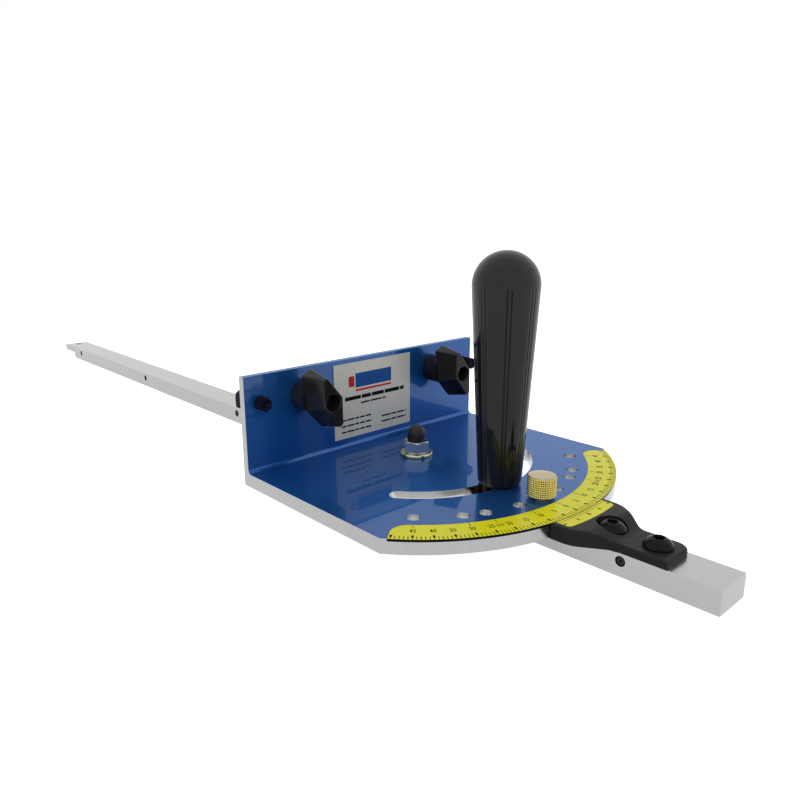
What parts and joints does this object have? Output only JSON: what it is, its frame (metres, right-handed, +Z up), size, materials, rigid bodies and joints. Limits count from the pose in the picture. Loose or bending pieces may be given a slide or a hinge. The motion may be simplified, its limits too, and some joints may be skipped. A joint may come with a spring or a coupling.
{
  "type": "miter gauge",
  "caption": "Half-round angle head with a degree scale, an upright flange and a tall clamp handle, swinging on a long flat guide bar.",
  "frame": {"origin": "on the pivot axis of the head, at the underside of the guide bar", "axes": "+Y along the guide bar to its far end, +X along the upright flange, +Z up away from the table"},
  "size_m": [0.1464, 0.6096, 0.1141],
  "materials": {
    "bar_metal": "ground steel, fine lengthwise grain",
    "dark_screw": "black oxide",
    "anodised": "blue anodised, polished",
    "scale_yellow": "printed yellow, semi-gloss",
    "bracket_black": "black anodised, satin",
    "zinc": "zinc plated",
    "yellow_zinc": "yellow zinc plated",
    "cap_rubber": "soft vinyl",
    "handle_plastic": "glossy black",
    "brass": "knurled brass",
    "pin_steel": "ground steel",
    "knob_plastic": "moulded black, satin",
    "label": "satin silver with printed colour fields"
  },
  "bodies": {
    "bar": {"miter_bar": "bar_metal", "bar_set_screws": "dark_screw", "cursor_bracket": "bracket_black", "vernier_plate": "scale_yellow", "cursor_screws": "dark_screw", "pivot_stud": "zinc", "pivot_washer": "yellow_zinc", "pivot_nut": "zinc", "pivot_cap": "cap_rubber", "clamp_stud": "zinc", "clamp_washer": "dark_screw"},
    "head": {"head": "anodised", "angle_scale": "scale_yellow", "label_plate": "label", "end_bolts": "dark_screw", "fence_bolts": "dark_screw"},
    "index": {"index_knob": "brass", "index_pin": "pin_steel"},
    "handle_core": {"handle_insert": "brass"},
    "handle": {"clamp_handle": "handle_plastic"},
    "left_core": {"knob_insert_left": "brass"},
    "left_knob": {"fence_knob_left": "knob_plastic"},
    "right_core": {"knob_insert_right": "brass"},
    "right_knob": {"fence_knob_right": "knob_plastic"}
  },
  "joints": [
    {"name": "head_swing", "type": "hinge", "parent": "bar", "child": "head", "pos_m": [0, 0, 0.00953], "axis": [0, 0, 1], "range_deg": [-52, 52]},
    {"name": "index_lift", "type": "slide", "parent": "head", "child": "index", "axis": [0, 0, 1], "range_m": [0, 0.014]},
    {"name": "handle_rise", "type": "slide", "parent": "bar", "child": "handle_core", "axis": [0, 0, 1], "range_m": [0, 0.00254]},
    {"name": "handle_turn", "type": "hinge", "parent": "handle_core", "child": "handle", "pos_m": [0, -0.0513, 0.01644], "axis": [0, 0, 1], "range_deg": [0, 720.5]},
    {"name": "left_knob_out", "type": "slide", "parent": "head", "child": "left_core", "axis": [0, -1, 0], "range_m": [0, 0.00381]},
    {"name": "left_knob_turn", "type": "hinge", "parent": "left_core", "child": "left_knob", "pos_m": [-0.0422, 0.032, 0.04702], "axis": [0, -1, 0], "range_deg": [0, 1080.5]},
    {"name": "right_knob_out", "type": "slide", "parent": "head", "child": "right_core", "axis": [0, -1, 0], "range_m": [0, 0.00381]},
    {"name": "right_knob_turn", "type": "hinge", "parent": "right_core", "child": "right_knob", "pos_m": [0.0422, 0.032, 0.04702], "axis": [0, -1, 0], "range_deg": [0, 1080.5]}
  ],
  "couplings": [
    {"joint": "handle_turn", "follows": "handle_rise", "rad_per_m": 4947.4},
    {"joint": "left_knob_turn", "follows": "left_knob_out", "rad_per_m": 4947.4},
    {"joint": "right_knob_turn", "follows": "right_knob_out", "rad_per_m": 4947.4}
  ]
}
